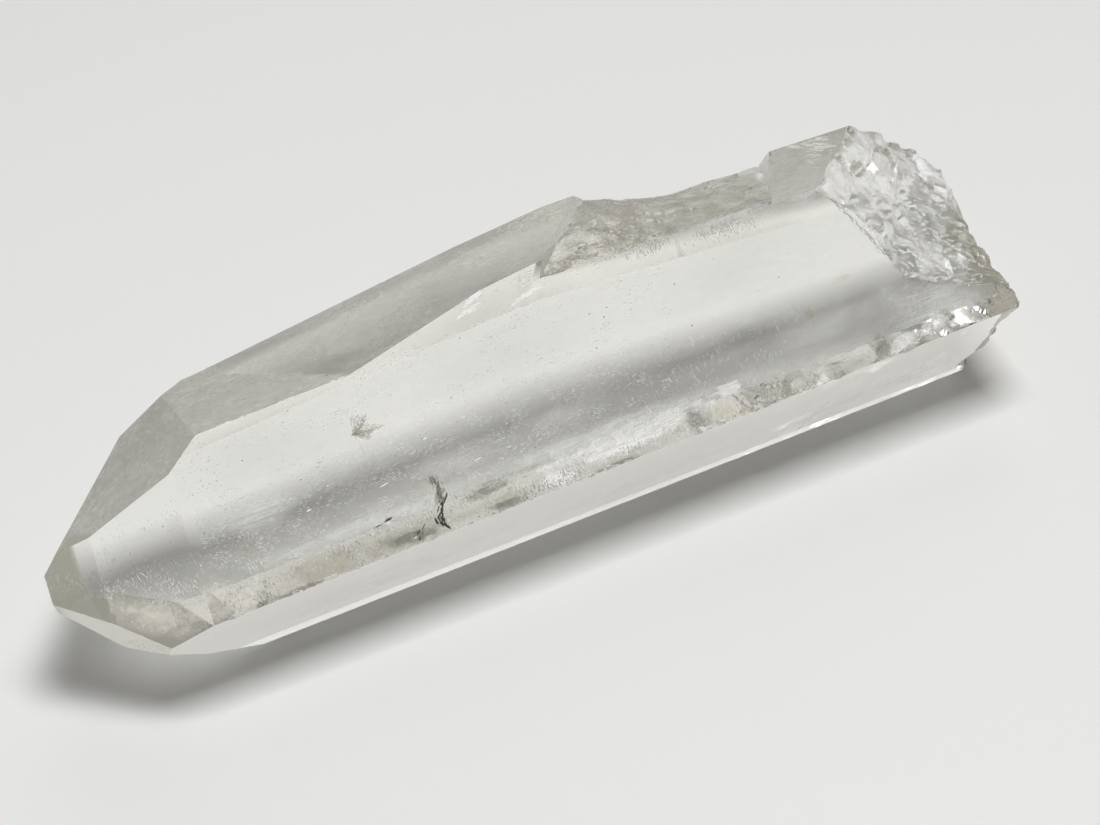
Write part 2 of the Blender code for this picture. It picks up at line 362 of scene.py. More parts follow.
# Facets have a size in millimetres, a tilt, a step and a seed; swells have a height and a size.
BREAK_FACETS, BREAK_SWELL, BREAK_GRAIN = (2.8, 0.4, 0.03, 3.1), (0.40, 2.3), (0.06, 0.9)
LEDGE_FACETS, LEDGE_GRAIN, LEDGE_STRETCH = (1.5, 0.30, 0.05, 5.3), (0.07, 0.45), 0.35
WARP, WARP_SCALE, LEAN_SCALE = 0.35, 1.4, 7.3


def facets(point, size, tilt, step, seed):
    """Height of a surface that is broken into small tilted facets, with steps between them."""
    size *= MM
    moved = point / size + Vector((seed, seed, seed))
    moved += WARP * noise.noise_vector(moved * WARP_SCALE)
    spot = noise.voronoi(moved)[1][0]
    tip = noise.cell_vector(spot * LEAN_SCALE) - Vector((0.5, 0.5, 0.5))
    return (tip.dot(moved - spot) * tilt + (tip.x + tip.y) * step) * size


def swell(point, height, size):
    """Height of smooth noise with a height and a size in millimetres."""
    return height * MM * noise.noise(point / (size * MM))


def rough_height(zone, point):
    """How far a broken surface stands out of or into the solid's plain one."""
    if zone == BREAK:
        return (swell(point, *BREAK_SWELL) + facets(point, *BREAK_FACETS)
                + swell(point, *BREAK_GRAIN))
    long_point = Vector((point.x * LEDGE_STRETCH, point.y, point.z))
    return facets(long_point, *LEDGE_FACETS) + swell(long_point, *LEDGE_GRAIN)


def roughen(item):
    """Move the broken faces' vertices, and slide those on a flat face's rim within that face."""
    mesh = mesh_of(item)
    zone = mesh.faces.layers.int["zone"]
    for vert in mesh.verts:
        zones = {face[zone] for face in vert.link_faces}
        label = BREAK if BREAK in zones else LEDGE if LEDGE in zones else None
        if label is None or CHIP in zones:
            continue
        rims = [face for face in vert.link_faces if face[zone] == FLAT]
        flats = {tuple(round(value, 3) for value in face.normal): (face.normal.copy(), vert.co.copy())
                 for face in rims}
        if len(flats) > 1:
            continue
        out = BREAK_OUT if label == BREAK else LEDGE_OUT
        moved = vert.co + out * rough_height(label, vert.co) * (RIM_SHARE if flats else 1.0)
        for n, p in flats.values():
            moved -= n * n.dot(moved - p)
        vert.co = moved
    keep(mesh, item.data)


roughen(crystal)
print("break and ledge roughened")

# %% [markdown]
# Growth edges are sharp, but a tenth of a millimetre of rounding is what catches the light. Edges
# at the back that are only seen through the crystal stay sharp. Each face also gets two numbers
# for the material to read: how dull it is, and how much thin film lies on it.

# %% Round the edges that growth faces share
EDGE_ROUNDING, EDGE_START = 0.10 * MM, 0.7 * MM
FRONT_SIDE, LEAST_TURN, LEAST_EDGE = -0.1, math.radians(4), 0.3 * MM
SHARP_TURN = math.radians(38)
KNOB_START, KNOB_TOP, KNOB_BACK, KNOB_FADE = 36.0 * MM, 13.4 * MM, 3.5 * MM, 2.0 * MM
KNOB_WAVE, KNOB_FILM, KNOB_DULLNESS = (2.5, 3.0), 1.0, 0.6
ROOT_CHIPS_START = 20 * MM
LEVEL, TIPWARD, TIP_FACE, BACKWARD, UNDERSIDE, STEEP = 0.8, -0.3, -0.5, 0.2, -0.6, 0.5
DULLNESS = {FLAT: 0.0, BREAK: 0.40, LEDGE: 0.38, CHIP: 0.25, "hidden tip": 0.30, "top": 0.20,
            "tip": 0.18, "low tip": 0.25, "scarp": 0.55, "root chip": 0.6}
FILM = {"top": 0.16, "scarp": 0.60, LEDGE: 0.30, "tip": 0.09, "low tip": 0.38, "root chip": 0.35}


def root_film(place):
    """How thickly the brown film lies on the root's end, from 0 to 1, with an uneven rim."""
    inside = min(place.x - KNOB_START, KNOB_TOP - place.z, KNOB_BACK - place.y)
    return min(1.0, max(0.0, (inside + swell(place, *KNOB_WAVE)) / KNOB_FADE))


def surface_kind(label, look, centre):
    """The kind of surface a face has, told by its zone, the way it looks and its place."""
    if label == FLAT and look.z > LEVEL:
        return "top"
    if label == FLAT and look.x < TIPWARD and (look.y > BACKWARD or look.z < UNDERSIDE):
        return "hidden tip"
    if label == FLAT and look.x < TIP_FACE:
        return "tip" if look.z > 0 else "low tip"
    if label == LEDGE and abs(look.x) > STEEP:
        return "scarp"
    return "root chip" if label == CHIP and centre.x > ROOT_CHIPS_START else label


def round_edges(item):
    """Give each edge between two flat faces a narrow bevel, and set the shading of every face."""
    mesh = mesh_of(item)
    zone = mesh.faces.layers.int["zone"]

    def is_broken(vert):
        return any(face[zone] in (BREAK, LEDGE) for face in vert.link_faces)

    def is_flat_edge(edge):
        return (len(edge.link_faces) == 2 and all(face[zone] == FLAT for face in edge.link_faces)
                and edge.calc_face_angle(0) > LEAST_TURN
                and any(face.normal.y < FRONT_SIDE for face in edge.link_faces))

    for edge in [edge for edge in mesh.edges if is_flat_edge(edge)]:
        for vert in list(edge.verts):
            if is_broken(vert) and edge.calc_length() > 2 * EDGE_START:
                _, cut = bmesh.utils.edge_split(edge, vert, EDGE_START / edge.calc_length())
                edge = next(other for other in cut.link_edges if vert not in other.verts
                            and is_flat_edge(other))
    edges = [edge for edge in mesh.edges if is_flat_edge(edge) and edge.calc_length() > LEAST_EDGE
             and not any(is_broken(vert) for vert in edge.verts)]
    bmesh.ops.bevel(mesh, geom=edges, offset=EDGE_ROUNDING, segments=2, profile=0.5,
                    affect="EDGES", clamp_overlap=True)
    dull = mesh.faces.layers.float.new("dullness")
    film = mesh.faces.layers.float.new("film")
    for face in mesh.faces:
        face.smooth = face[zone] != FLAT
        centre = face.calc_center_median()
        kind = surface_kind(face[zone], face.normal, centre)
        knob = root_film(centre) if kind == BREAK else 0.0
        face[dull] = DULLNESS[kind] + (KNOB_DULLNESS - DULLNESS[kind]) * knob
        face[film] = KNOB_FILM * knob + FILM.get(kind, 0.0)
    for edge in mesh.edges:
        flat = any(face[zone] == FLAT for face in edge.link_faces)
        edge.smooth = not (flat or edge.calc_face_angle(0) > SHARP_TURN)
    print("edges rounded:", len(edges), "faces:", len(mesh.faces))
    keep(mesh, item.data)


round_edges(crystal)

# %% [markdown]
# Clear quartz needs no painted colour: it is plain transmission, the refraction of quartz, and a
# weak absorption that tints only long paths of light. A second inner body would be wrong, as it
# is one crystal all through. The broken faces are duller and the end of the root has a brownish
# film, both read from the numbers on the faces.

# %% Quartz
CLEAN_COLOR, FILM_COLOR = (1.0, 1.0, 1.0, 1.0), (0.57, 0.54, 0.42, 1.0)
QUARTZ_IOR, ABSORPTION_COLOR, ABSORPTION_DENSITY = 1.544, (0.945, 0.942, 0.90, 1.0), 30.0

quartz = bpy.data.materials.new("clear_quartz")
quartz.use_nodes = True
tree, nodes = quartz.node_tree, quartz.node_tree.nodes
glass = nodes["Principled BSDF"]
film = nodes.new("ShaderNodeAttribute")
film.attribute_name = "film"
film_color = nodes.new("ShaderNodeMix")
film_color.data_type = "RGBA"
film_color.inputs[6].default_value, film_color.inputs[7].default_value = CLEAN_COLOR, FILM_COLOR
wire(tree, film, "Fac", film_color, 0)
wire(tree, film_color, 2, glass, "Base Color")
dullness = nodes.new("ShaderNodeAttribute")
dullness.attribute_name = "dullness"
wire(tree, dullness, "Fac", glass, "Roughness")
glass.inputs["IOR"].default_value = QUARTZ_IOR
glass.inputs["Transmission Weight"].default_value = 1.0
absorption = nodes.new("ShaderNodeVolumeAbsorption")
absorption.inputs["Color"].default_value = ABSORPTION_COLOR
absorption.inputs["Density"].default_value = ABSORPTION_DENSITY
wire(tree, absorption, "Volume", nodes["Material Output"], "Volume")
crystal.data.materials.append(quartz)

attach(crystal, "root")
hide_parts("crystal")
print("quartz: refraction", QUARTZ_IOR, "on", len(crystal.data.polygons), "faces")

# %% [markdown]
# Real marks lie on the skin or just under it. These helpers find a point of a growth face and
# test that it is still on the crystal, not past an edge or over a chip.

# %% Places on a face
SKIN_REACH = 0.05 * MM
skin_mesh = mesh_of(crystal)
skin_tree = BVHTree.FromBMesh(skin_mesh)
skin_mesh.free()
print("skin to search:", len(crystal.data.polygons), "faces")


def is_on_skin(point):
    """Whether a point lies on the crystal's real surface, not past an edge or over a chip."""
    return skin_tree.find_nearest(point)[3] < SKIN_REACH


def on_face(plane, x, up, depth):
    """The point of a growth face at a place along X and a height (or along Y on a level face),
    moved into the crystal by a depth."""
    n, p, _ = plane
    if abs(n.z) > LEVEL:
        return Vector((x, up, (n.dot(p) - n.x * x - n.y * up) / n.z)) - n * depth
    return Vector((x, (n.dot(p) - n.x * x - n.z * up) / n.y, up)) - n * depth


# %% [markdown]
# The veil of tiny fluid bubbles, the etched pits, the crumbs and the cracks are all made of thin
# flecks. A texture could draw them, but a fleck of real size stays crisp close up. Each is a leaf
# with six uneven corners, about the size of a grain of dust.

# %% Flecks
CORNERS, CORNER_SHIFT, CORNER_REACH = 6, 0.25, (0.7, 1.0)


def add_piece(name, mesh, finish):
    """Turn a mesh in the making into a piece of the crystal, with a finish."""
    data = keep(mesh, bpy.data.meshes.new(name))
    data.materials.append(finish)
    item = show(name, data)
    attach(item, "root")
    print(name, "has", len(data.polygons), "faces")


def add_fleck(mesh, place, along, facing, length, width, draw):
    """One thin leaf-shaped flake with six uneven corners."""
    across = facing.cross(along).normalized()
    ring = []
    for corner in range(CORNERS):
        turn = math.tau * (corner + draw.uniform(-CORNER_SHIFT, CORNER_SHIFT)) / CORNERS
        reach = draw.uniform(*CORNER_REACH)
        ring.append(mesh.verts.new(place + along * (math.cos(turn) * length * reach / 2)
                                   + across * (math.sin(turn) * width * reach / 2)))
    mesh.faces.new(ring)


def fleck_piece(name, finish, specks, seed):
    """A piece made of many flecks; each speck is (place, along, facing, length, width)."""
    draw = random.Random(seed)
    mesh = bmesh.new()
    for speck in specks:
        add_fleck(mesh, *speck, draw)
    add_piece(name, mesh, finish)


def lean(vector, amount, draw):
    """A direction turned a little, at random."""
    return (vector + Vector([draw.uniform(-amount, amount) for _ in range(3)])).normalized()


# %% [markdown]
# Haze, bruises and stains have soft, torn edges. This node group adds noise to the cover that is
# painted on a sheet's vertices and cuts the sum at a soft threshold. It is built once and placed
# in each soft finish with its own values.

# %% Patchy cover, shared by the soft marks
COVER_START, GRAIN_DETAIL, GRAIN_ROUGHNESS = 0.62, 6.0, 0.65


def group_socket(tree, name, kind, side, value=None):
    """A named socket on a node group."""
    socket = tree.interface.new_socket(name=name, in_out=side, socket_type=kind)
    if value is not None:
        socket.default_value = value


def patchy_cover():
    """A node group that turns a painted cover into a mask with noisy, torn edges."""
    tree = bpy.data.node_groups.new("patchy_cover", "ShaderNodeTree")
    for name, value in (("Cover", 1.0), ("Scale", 1000.0), ("Stretch", 1.0), ("Edge", 0.3),
                        ("Amount", 1.0)):
        group_socket(tree, name, "NodeSocketFloat", "INPUT", value)
    group_socket(tree, "Mask", "NodeSocketFloat", "OUTPUT")
    new = tree.nodes.new
    inputs, outputs = new("NodeGroupInput"), new("NodeGroupOutput")
    where, stretch, squeeze = (new("ShaderNodeTexCoord"), new("ShaderNodeCombineXYZ"),
                               new("ShaderNodeVectorMath"))
    squeeze.operation = "MULTIPLY"
    stretch.inputs["Y"].default_value = stretch.inputs["Z"].default_value = 1.0
    wire(tree, inputs, "Stretch", stretch, "X")
    wire(tree, where, "Object", squeeze, 0)
    wire(tree, stretch, "Vector", squeeze, 1)
    grain = new("ShaderNodeTexNoise")
    grain.inputs["Detail"].default_value = GRAIN_DETAIL
    grain.inputs["Roughness"].default_value = GRAIN_ROUGHNESS
    wire(tree, squeeze, "Vector", grain, "Vector")
    wire(tree, inputs, "Scale", grain, "Scale")
    total = new("ShaderNodeMath")
    wire(tree, inputs, "Cover", total, 0)
    wire(tree, grain, "Fac", total, 1)
    mask = new("ShaderNodeMapRange")
    mask.interpolation_type = "SMOOTHSTEP"
    mask.inputs["From Min"].default_value = COVER_START
    top = new("ShaderNodeMath")
    top.inputs[1].default_value = COVER_START
    wire(tree, inputs, "Edge", top, 0)
    wire(tree, top, "Value", mask, "From Max")
    wire(tree, total, "Value", mask, "Value")
    wire(tree, inputs, "Amount", mask, "To Max")
    wire(tree, mask, "Result", outputs, "Mask")
    return tree


PATCHY_COVER = patchy_cover()
print(PATCHY_COVER.name, "has", len(PATCHY_COVER.nodes), "nodes")

# %% [markdown]
# No mineral powder is one even colour. This second node group mixes a lighter and a darker tone
# by fine noise, and every mark's finish has it with its own two tones.

# %% Mineral tone, shared by all the marks
def mineral_tone():
    """A node group that mixes a lighter and a darker tone by a fine noise."""
    tree = bpy.data.node_groups.new("mineral_tone", "ShaderNodeTree")
    group_socket(tree, "Light", "NodeSocketColor", "INPUT")
    group_socket(tree, "Dark", "NodeSocketColor", "INPUT")
    group_socket(tree, "Scale", "NodeSocketFloat", "INPUT", 2000.0)
    group_socket(tree, "Color", "NodeSocketColor", "OUTPUT")
    new = tree.nodes.new
    inputs, outputs, where = new("NodeGroupInput"), new("NodeGroupOutput"), new("ShaderNodeTexCoord")
    grain, mix = new("ShaderNodeTexNoise"), new("ShaderNodeMix")
    mix.data_type = "RGBA"
    wire(tree, where, "Object", grain, "Vector")
    wire(tree, inputs, "Scale", grain, "Scale")
    wire(tree, grain, "Fac", mix, 0)
    wire(tree, inputs, "Dark", mix, 6)
    wire(tree, inputs, "Light", mix, 7)
    wire(tree, mix, 2, outputs, "Color")
    return tree


MINERAL_TONE = mineral_tone()
print(MINERAL_TONE.name, "has", len(MINERAL_TONE.nodes), "nodes")

# %% [markdown]
# Each kind of mark has its own matt finish: white for fluid and crushed quartz, grey for etched
# pits, beige and brown for dirt and clay, nearly black for an open crack, which holds air and
# turns the light away. Thin ones let part of the light through.

# %% Finishes of the marks
TONE_SPREAD, TONE_SCALE, SOFT_ROUGHNESS = 0.14, 2400.0, 0.7


def mark_finish(name, color, roughness, see_through=0.0):
    """A matte mineral finish for marks in or on the quartz."""
    finish = bpy.data.materials.new(name)
    finish.use_nodes = True
    tree = finish.node_tree
    shader, tone = tree.nodes["Principled BSDF"], tree.nodes.new("ShaderNodeGroup")
    tone.node_tree = MINERAL_TONE
    for socket, share in (("Light", 1 + TONE_SPREAD), ("Dark", 1 - TONE_SPREAD)):
        tone.inputs[socket].default_value = (*[min(1.0, part * share) for part in color], 1.0)
    tone.inputs["Scale"].default_value = TONE_SCALE
    wire(tree, tone, "Color", shader, "Base Color")
    shader.inputs["Roughness"].default_value = roughness
    shader.inputs["Alpha"].default_value = 1.0 - see_through
    return finish


def soft_finish(name, color, scale, stretch, edge, amount):
    """A mark finish that thins out in torn patches, by the cover painted on its sheet."""
    finish = mark_finish(name, color, SOFT_ROUGHNESS)
    tree = finish.node_tree
    cover, patchy = tree.nodes.new("ShaderNodeAttribute"), tree.nodes.new("ShaderNodeGroup")
    cover.attribute_name, patchy.node_tree = "cover", PATCHY_COVER
    for socket, value in (("Scale", scale), ("Stretch", stretch), ("Edge", edge),
                          ("Amount", amount)):
        patchy.inputs[socket].default_value = value
    wire(tree, cover, "Fac", patchy, "Cover")
    wire(tree, patchy, "Mask", tree.nodes["Principled BSDF"], "Alpha")
    return finish


FLUID_WHITE = mark_finish("fluid_white", (0.97, 0.97, 0.95), 0.5, 0.45)
CRACK_OLIVE = mark_finish("crack_olive", (0.26, 0.26, 0.20), 0.7, 0.25)
ETCH_GREY = mark_finish("etch_grey", (0.42, 0.41, 0.37), 0.8, 0.45)
DIRT_BROWN = mark_finish("dirt_brown", (0.17, 0.14, 0.10), 0.9, 0.15)
CRACK_DARK = mark_finish("crack_dark", (0.03, 0.03, 0.025), 0.5)
FAN_BEIGE = mark_finish("fan_beige", (0.44, 0.42, 0.34), 0.8, 0.35)
RUBBLE_BEIGE = mark_finish("rubble_beige", (0.76, 0.73, 0.64), 0.8, 0.35)
BRUISE_WHITE = mark_finish("bruise_white", (0.96, 0.95, 0.92), 0.6)
SKIN, SHEET_SKIN, MARK_SKIN = -0.012 * MM, -0.012 * MM * 1.5, -0.012 * MM * 2.5
ALONG_AXIS, UP_FACE = Vector((1.0, 0.0, 0.0)), Vector((-0.2, 0.45, 0.87))
print(len(bpy.data.materials), "finishes so far")

# %% [markdown]
# Flecks gather in bands and clumps. Places are drawn with a fixed seed, and a slow noise decides
# how many are kept at each spot. The long veil runs along the middle of the front face, with
# etched pits above it and a speckled, scratched strip below it. The tip has frost and short
# upright lines, and the top fine streaks along the axis.

# %% Scattered flecks on a growth face
CLUMPING, LEAN, LONG_SHARE, LONG_FACTOR = 1.6, 0.10, 0.08, 2.2
WIDTH_SPREAD, SKIN_LAYERS = (0.6, 1.3), (1.0, 2.0)


def scatter(plane, span, rise, count, lengths, width, along, seed, patch=(3.2, 1.6), bare=0.25):
    """Flecks in a band of a face, thick in some places and thin in others. span is the band's ends
    along X, rise its middle height and spread, and patch the size of the thick places."""
    draw = random.Random(seed)
    specks = []
    while len(specks) < count:
        x, z = draw.uniform(*span) * MM, (rise[0] + draw.gauss(0, rise[1])) * MM
        clump = noise.noise(Vector((x / (patch[0] * MM), z / (patch[1] * MM), seed)))
        if draw.random() > bare + CLUMPING * clump:
            continue
        length = draw.uniform(*lengths) * (LONG_FACTOR if draw.random() < LONG_SHARE else 1.0) * MM
        place = on_face(plane, x, z, SKIN * draw.uniform(*SKIN_LAYERS))
        way = lean(along, LEAN, draw)
        if all(is_on_skin(place + way * length * end) for end in (-0.5, 0.0, 0.5)):
            specks.append((place, way, plane[0], length, width * draw.uniform(*WIDTH_SPREAD) * MM))
    return specks


# %% [markdown]
# A table is easier to tune than many calls. Each row is a piece's name, finish and seed, and its
# bands, whose values are those that scatter takes.

# %% Bands of flecks
TOP_END, NEARLY_LEVEL, HALF_BAND = 5 * MM, 0.9, 14
front, tip_top = prism["front"], face_looking(-0.54, 0.0, 0.84)
tip_front, tip_left = face_looking(-0.43, -0.78, 0.45), face_looking(-0.62, -0.68, 0.39)
level_faces = [plane for plane in planes if plane[0].z > NEARLY_LEVEL]
root_top = next(plane for plane in level_faces if plane[1].x > ROOT_CHIPS_START)
DOWN_TIP, DOWN_ROOT = Vector((-0.84, 0.0, -0.54)), Vector((0.85, -0.5, 0.0))


def top_bands(*values):
    """The same band of streaks on each level face in front of the ledge."""
    return [(plane, (plane[1].x / MM - HALF_BAND, plane[1].x / MM + HALF_BAND), (1.5, 4.0), *values,
             (4.0, 1.2), 0.3) for plane in level_faces if plane[1].x < TOP_END]


BANDS = (
    ("fluid_veil", FLUID_WHITE, 1, (
        (front, (-36, 4), (14.0, 1.8), 4600, (0.06, 0.17), 0.04, ALONG_AXIS, 11, (2.4, 1.0), 0.15),
        (front, (-36, 6), (14.0, 1.6), 360, (0.20, 0.60), 0.04, ALONG_AXIS, 12, (2.2, 1.0), 0.3),
        (front, (4, 19), (14.6, 1.6), 420, (0.12, 0.42), 0.03, UP_FACE, 14, (2.2, 1.0), 0.3))),
    ("veil_shade", ETCH_GREY, 20, (
        (front, (-36, 8), (13.6, 1.9), 2200, (0.07, 0.20), 0.045, ALONG_AXIS, 13, (2.6, 1.1), 0.15),)),
    ("etch_specks", ETCH_GREY, 2, (
        (front, (-36, 8), (19.0, 3.2), 900, (0.12, 0.35), 0.06, ALONG_AXIS, 21),
        (front, (3, 17), (23.5, 0.45), 420, (0.15, 0.5), 0.07, UP_FACE, 23))),
    ("top_streaks", RUBBLE_BEIGE, 14, top_bands(420, (0.2, 1.0), 0.04, ALONG_AXIS, 25)),
    ("top_shade", ETCH_GREY, 32, top_bands(130, (0.2, 0.8), 0.04, ALONG_AXIS, 26)),
    ("tip_top_specks", ETCH_GREY, 30, (
        (tip_top, (-44, -33), (1.0, 4.0), 300, (0.1, 0.5), 0.05, DOWN_TIP, 46),)),
    ("tip_top_nicks", FLUID_WHITE, 31, (
        (tip_top, (-44, -33), (1.0, 4.0), 120, (0.1, 0.6), 0.04, DOWN_TIP, 48),)),
    ("root_top_streaks", ETCH_GREY, 24, (
        (root_top, (18, 34), (3.0, 4.0), 420, (0.3, 1.2), 0.05, ALONG_AXIS, 45, (4.0, 1.2), 0.4),)),
    ("root_top_crush", FLUID_WHITE, 33, (
        (root_top, (25, 32), (4.5, 2.0), 90, (0.5, 2.0), 0.12, DOWN_ROOT, 49, (2.0, 2.0), 0.2),)),
    ("tip_frost", FLUID_WHITE, 15, (
        (tip_front, (-44, -35), (10.6, 1.4), 420, (0.12, 0.45), 0.06, UP_FACE, 27),
        (tip_left, (-47, -42), (12.0, 2.0), 90, (0.12, 0.5), 0.05, UP_FACE, 28),
        (front, (-38, -28), (11.4, 1.2), 200, (0.10, 0.30), 0.05, UP_FACE, 29))),
    ("tip_specks", ETCH_GREY, 16, (
        (tip_front, (-44, -35), (14.0, 3.0), 260, (0.10, 0.5), 0.05, UP_FACE, 33),
        (tip_left, (-47, -42), (12.5, 2.5), 90, (0.10, 0.4), 0.05, UP_FACE, 35))),
    ("dirt_dots", DIRT_BROWN, 17, (
        (front, (-36, 20), (16.0, 4.0), 36, (0.10, 0.24), 0.13, ALONG_AXIS, 37),
        (tip_front, (-43, -37), (13.0, 3.0), 6, (0.12, 0.24), 0.14, ALONG_AXIS, 39),
        (prism["top"], (-34, 0), (1.0, 3.0), 12, (0.12, 0.3), 0.14, ALONG_AXIS, 43))),
    ("edge_speckle", ETCH_GREY, 3, (
        (front, (-36, 18), (10.2, 0.6), 1100, (0.15, 0.45), 0.10, UP_FACE, 31, (2.6, 1.2), 0.15),)),
    ("edge_scratches", FLUID_WHITE, 4, (
        (front, (-36, 20), (10.5, 0.7), 600, (0.15, 0.55), 0.08, UP_FACE, 41, (2.0, 1.2), 0.15),)),
)
for name, finish, seed, bands in BANDS:
    fleck_piece(name, finish, [speck for band in bands for speck in scatter(*band)], seed)

# %% [markdown]
# A sheet is a small grid laid on a face, with a cover that fades from its middle to an uneven
# rim. One sheet piece may hold several patches of the same finish: haze near the root that is
# partly painted light, white bruises along the lower strip, yellow iron stains, grime in the
# chipped edge, and painted light and painted shade in the dark band.

# %% Soft sheets on a face
SHEET_ROWS, RIM_SCALE, RIM_WOBBLE, FACE_RISE = 14, 1.6, 0.5, 0.866


def sheet_piece(name, finish, plane, patches, seed):
    """Thin sheets on a growth face. Each patch is (x, height, half length, half width) in
    millimetres, and for some a turn in degrees; its cover fades from 1 to 0 at an uneven rim."""
    mesh = bmesh.new()
    cover = mesh.verts.layers.float.new("cover")
    for number, (x, z, length, width, *turn) in enumerate(patches):
        c, d = math.cos(math.radians(sum(turn))), math.sin(math.radians(sum(turn)))
        rows = []
        for i in range(2 * SHEET_ROWS + 1):
            row = []
            for j in range(2 * SHEET_ROWS + 1):
                u, v = i / SHEET_ROWS - 1, j / SHEET_ROWS - 1
                wobble = noise.noise(Vector((u * RIM_SCALE, v * RIM_SCALE, seed + number)))
                along, across = u * length, v * width
                place = on_face(plane, (x + along * c - across * d) * MM,
                                (z + (along * d + across * c) * FACE_RISE) * MM, SHEET_SKIN)
                vert = mesh.verts.new(place)
                vert[cover] = max(0.0, 1 - math.hypot(u, v) * (1 + RIM_WOBBLE * wobble))
                row.append(vert)
            rows.append(row)
        for i in range(2 * SHEET_ROWS):
            for j in range(2 * SHEET_ROWS):
                corners = [rows[i][j], rows[i + 1][j], rows[i + 1][j + 1], rows[i][j + 1]]
                if any(corner[cover] > 0 for corner in corners) and all(
                        is_on_skin(corner.co) for corner in corners):
                    mesh.faces.new(corners)
    bmesh.ops.delete(mesh, geom=[vert for vert in mesh.verts if not vert.link_faces],
                     context="VERTS")
    add_piece(name, mesh, finish)


# %% [markdown]
# Haze and bruises are white, films of clay are beige and olive, and iron is yellow. Some white
# sheets are painted light and one grey sheet is painted shade, in and under the dark band. The sheets
# are a table too, of their finish, face, seed and patches.

# %% Haze, bruises, films, stains, and painted light and shade
# The white haze is partly painted light: it brightens the front face where the floor seen through is
# lit by light passing through the crystal, and it draws a painted caustic line on the lower face.
HAZE_AND_PAINTED_LIGHT = soft_finish("white_haze_and_painted_light", (0.95, 0.95, 0.93), 900.0, 0.35, 1.0, 0.5)
# Painted light: a faint white haze that lightens parts of the dark band, which is the shadow under the
# crystal seen through it.
FAINT_PAINTED_LIGHT = soft_finish("faint_painted_light", (0.95, 0.95, 0.93), 500.0, 0.3, 1.3, 0.42)
# Painted shade: a faint grey that darkens the core of the dark band.
FAINT_PAINTED_SHADE = soft_finish("faint_painted_shade", (0.26, 0.26, 0.245), 300.0, 0.4, 1.2, 0.5)
FRONT_MOTTLE = soft_finish("front_mottle", (0.58, 0.58, 0.54), 300.0, 0.45, 1.1, 0.26)
TOP_MOTTLE = soft_finish("top_mottle", (0.47, 0.465, 0.42), 420.0, 0.35, 0.6, 0.7)
TIP_HAZE = soft_finish("tip_haze", (0.86, 0.82, 0.75), 1600.0, 0.8, 1.0, 0.68)
KNOB_BEIGE = soft_finish("knob_beige", (0.44, 0.41, 0.35), 900.0, 0.8, 0.7, 0.75)
STAIN = soft_finish("iron_stain", (0.64, 0.54, 0.33), 3600.0, 0.4, 0.8, 0.55)
FAINT_STAIN = soft_finish("faint_stain", (0.55, 0.46, 0.28), 2600.0, 0.5, 1.0, 0.35)
BRUISE = soft_finish("bruise_white", (0.97, 0.96, 0.93), 2600.0, 0.5, 0.4, 0.95)
STRIP_OLIVE = soft_finish("strip_olive", (0.44, 0.415, 0.34), 1300.0, 0.5, 0.8, 0.75)
LOW_MOTTLE = soft_finish("low_mottle", (0.72, 0.72, 0.68), 420.0, 0.6, 1.2, 0.30)
SMOKE = soft_finish("edge_grime", (0.24, 0.23, 0.20), 2600.0, 0.7, 0.6, 0.8)
low, low_tip = prism["front_low"], face_looking(-0.72, -0.60, -0.35)
